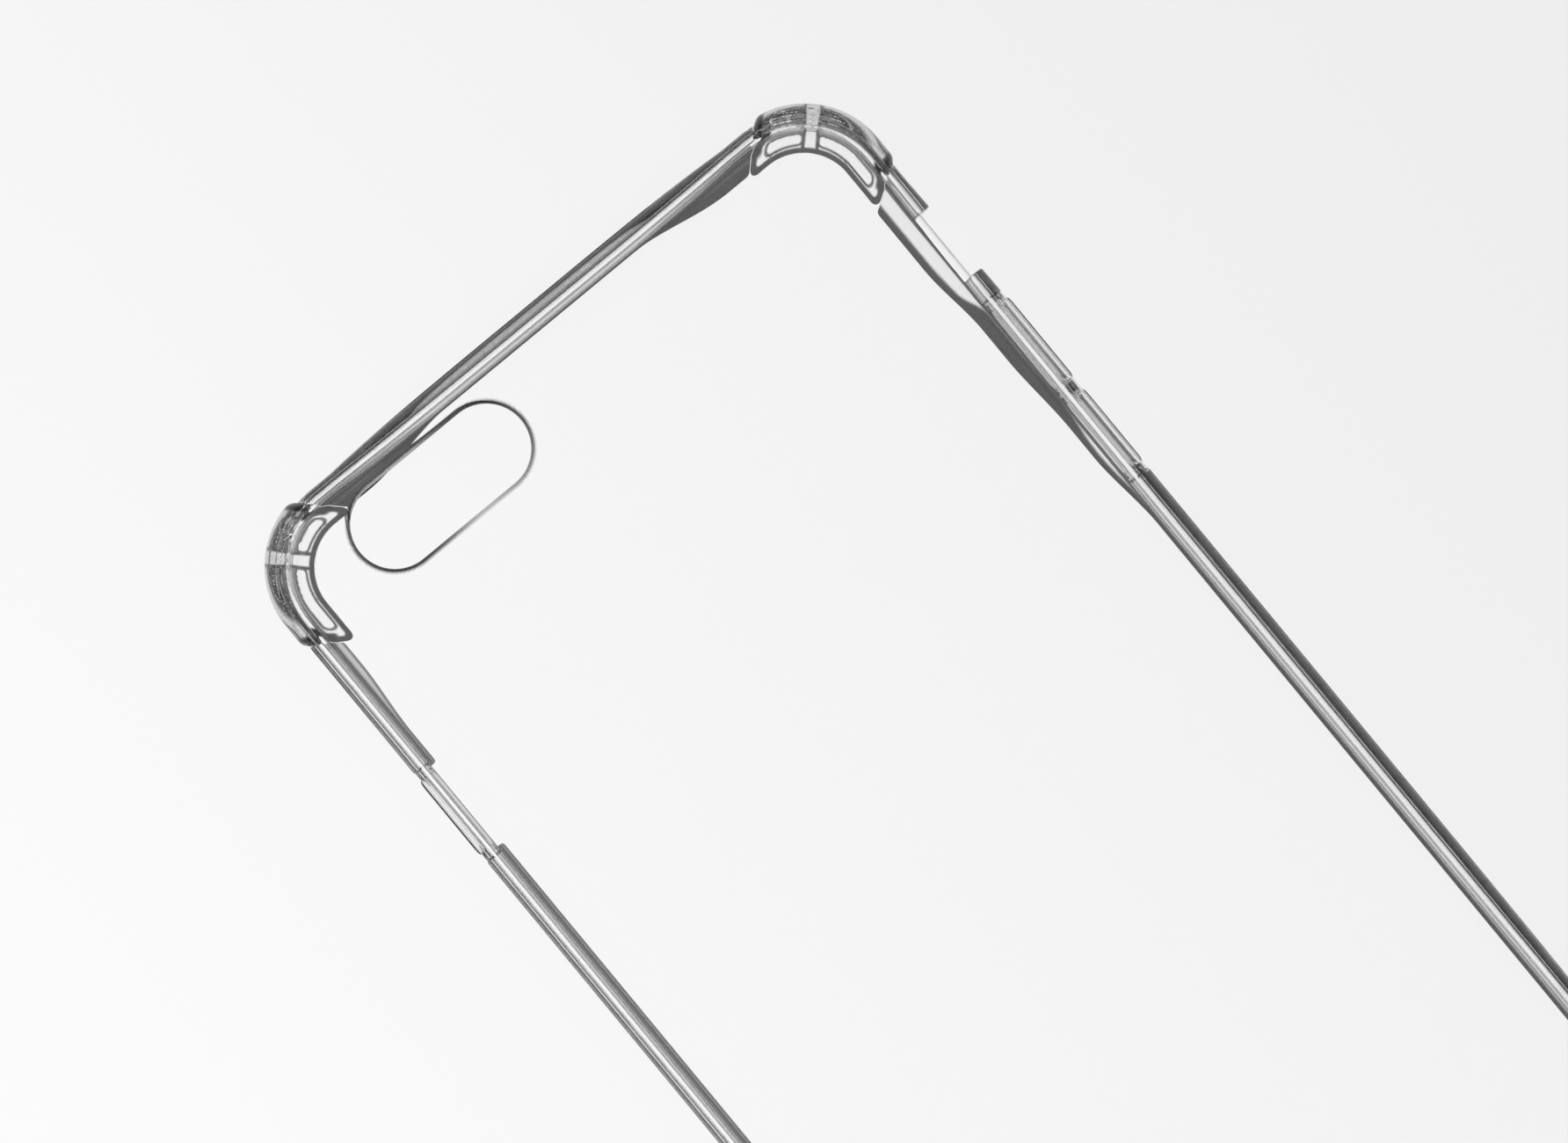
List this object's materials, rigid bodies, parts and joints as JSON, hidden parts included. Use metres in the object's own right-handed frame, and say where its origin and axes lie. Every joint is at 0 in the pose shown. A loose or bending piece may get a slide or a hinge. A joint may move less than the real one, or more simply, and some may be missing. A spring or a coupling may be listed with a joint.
{
  "type": "phone case",
  "caption": "Crystal clear phone case with a hard back, a soft bumper lip, thick air-cell corner guards and pressable side keys.",
  "frame": {"origin": "centre of the bottom of the bounding box, in the plane of the four corner guards' feet", "axes": "+Z leaves the outer face of the back, so the open side and its lip face down; +Y points to the camera end; +X points to the side with the two volume keys"},
  "size_m": [0.0818, 0.162, 0.0099],
  "materials": {
    "clear_hard_plastic": "crystal clear hard plastic, polished, with faint handling marks",
    "clear_soft_plastic": "clear soft plastic, glossy, slightly rippled",
    "clear_soft_guard": "clear soft plastic, thick and glossy, slightly smoky where it is deep",
    "clear_soft_key": "clear soft plastic, glossy cap"
  },
  "bodies": {
    "case": {"back_shell": "clear_hard_plastic", "bumper_frame": "clear_soft_plastic", "corner_guard_top_left": "clear_soft_guard", "corner_guard_top_right": "clear_soft_guard", "corner_guard_bottom_left": "clear_soft_guard", "corner_guard_bottom_right": "clear_soft_guard"},
    "volume_up": {"volume_up_key": "clear_soft_key"},
    "volume_down": {"volume_down_key": "clear_soft_key"},
    "power": {"power_key": "clear_soft_key"}
  },
  "joints": [
    {"name": "volume_up_press", "type": "slide", "parent": "case", "child": "volume_up", "axis": [-1, 0, 0], "range_m": [0, 0.00035], "stiffness_N_per_m": 300},
    {"name": "volume_down_press", "type": "slide", "parent": "case", "child": "volume_down", "axis": [-1, 0, 0], "range_m": [0, 0.00035], "stiffness_N_per_m": 300},
    {"name": "power_press", "type": "slide", "parent": "case", "child": "power", "axis": [1, 0, 0], "range_m": [0, 0.00035], "stiffness_N_per_m": 300}
  ]
}
